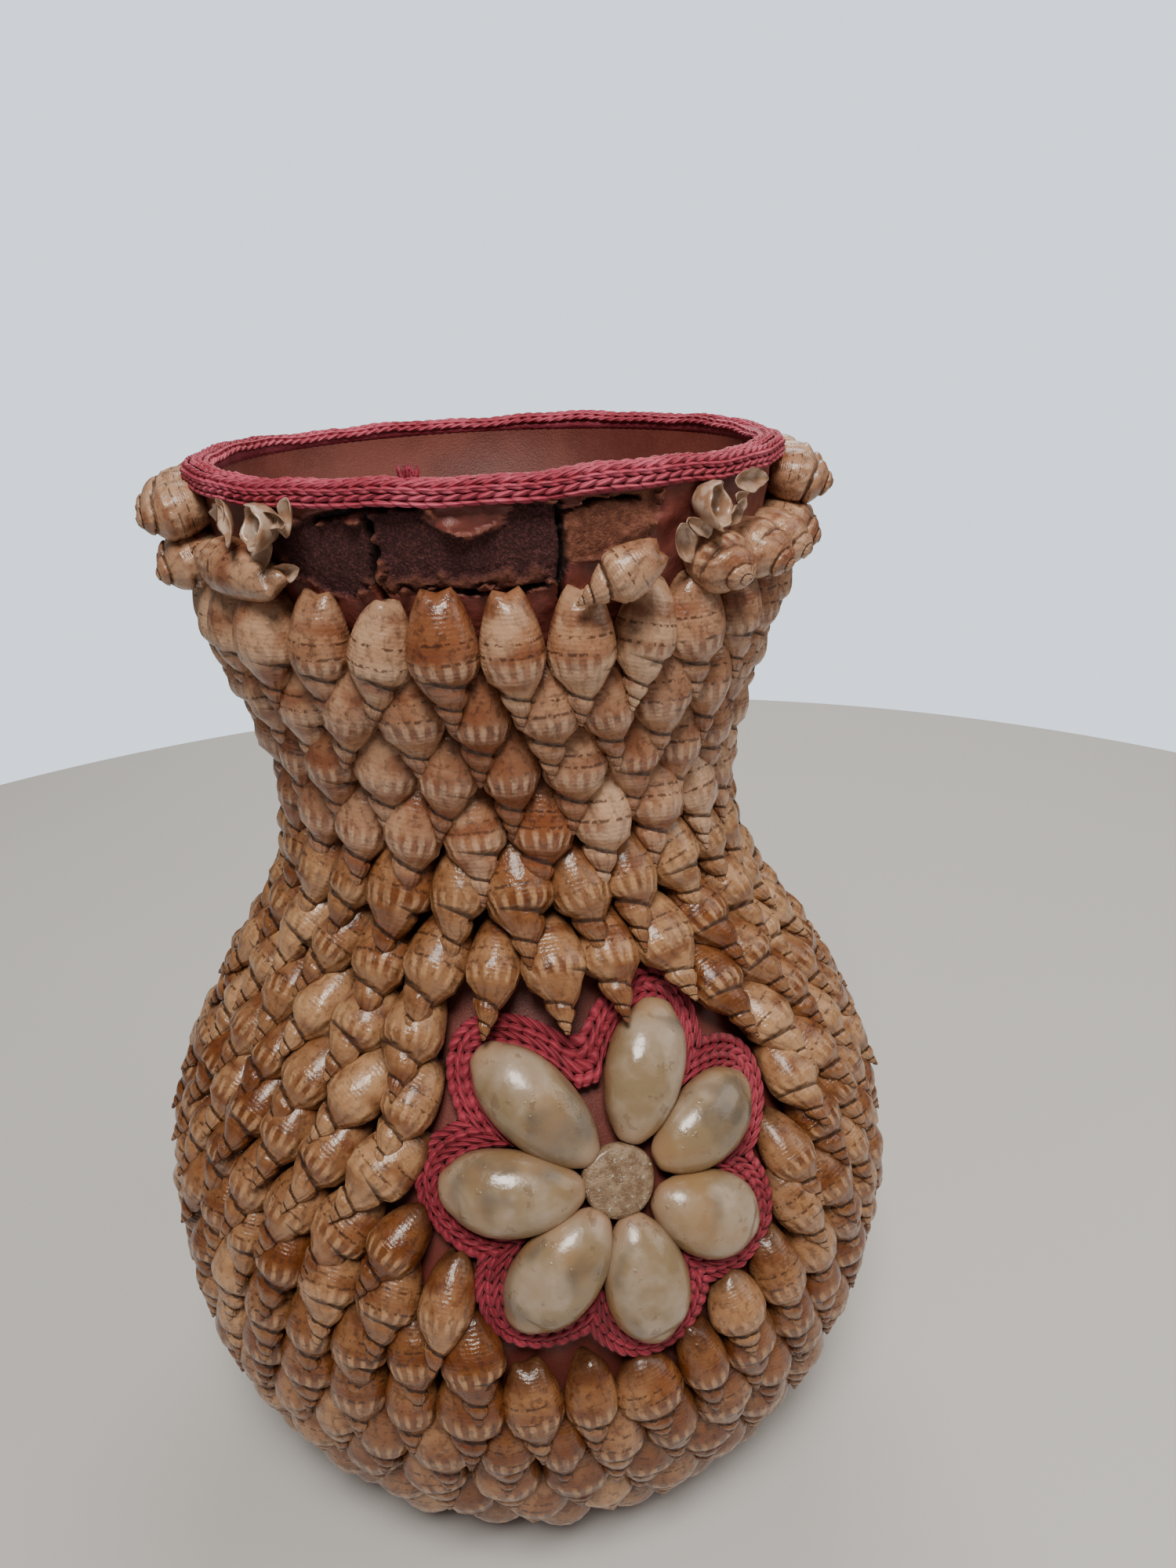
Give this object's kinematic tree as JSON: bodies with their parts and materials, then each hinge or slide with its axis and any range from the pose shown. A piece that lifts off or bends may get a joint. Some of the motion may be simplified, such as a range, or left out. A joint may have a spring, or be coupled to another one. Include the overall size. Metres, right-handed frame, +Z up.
{
  "type": "shell vase",
  "caption": "Round-bellied vase with a waist and a flared lip, set with rows of small pointed shells, a cowrie flower and a knitted red braid.",
  "frame": {"origin": "middle of the underside of the foot", "axes": "+Z up through the mouth, -Y towards the cowrie flower, +X to the right seen from the flower's side"},
  "size_m": [0.1497, 0.1497, 0.2049],
  "materials": {
    "terracotta": "painted brown, worn, satin",
    "shell_tan": "varnished sea shell, gloss",
    "shell_grey": "varnished sea shell, gloss",
    "cowrie_cream": "polished cowrie shell, high gloss",
    "button_beige": "speckled shell disc, satin",
    "braid_red": "knitted raffia tape, matt"
  },
  "bodies": {
    "root": {"vase_body": "terracotta", "shell_row_01": "shell_grey", "shell_row_02": "shell_grey", "shell_row_03": "shell_grey", "shell_row_04": "shell_grey", "shell_row_05": "shell_tan", "shell_row_06": "shell_tan", "shell_row_07": "shell_tan", "shell_row_08": "shell_tan", "shell_row_09": "shell_tan", "shell_row_10": "shell_tan", "shell_row_11": "shell_tan", "shell_row_12": "shell_tan", "shell_row_13": "shell_tan", "shell_row_14": "shell_tan", "shell_row_15": "shell_tan", "shell_row_16": "shell_tan", "shell_row_17": "shell_tan", "collar_lower": "shell_tan", "collar_upper": "shell_tan", "side_shell": "shell_tan", "loose_shell": "shell_tan", "broken_shell_left": "shell_tan", "broken_shell_right": "shell_tan", "cowrie_1": "cowrie_cream", "cowrie_2": "cowrie_cream", "cowrie_3": "cowrie_cream", "cowrie_4": "cowrie_cream", "cowrie_5": "cowrie_cream", "cowrie_6": "cowrie_cream", "cowrie_7": "cowrie_cream", "flower_button": "button_beige", "flower_braid": "braid_red", "lip_braid_outer": "braid_red", "lip_braid_top": "braid_red"}
  },
  "joints": []
}
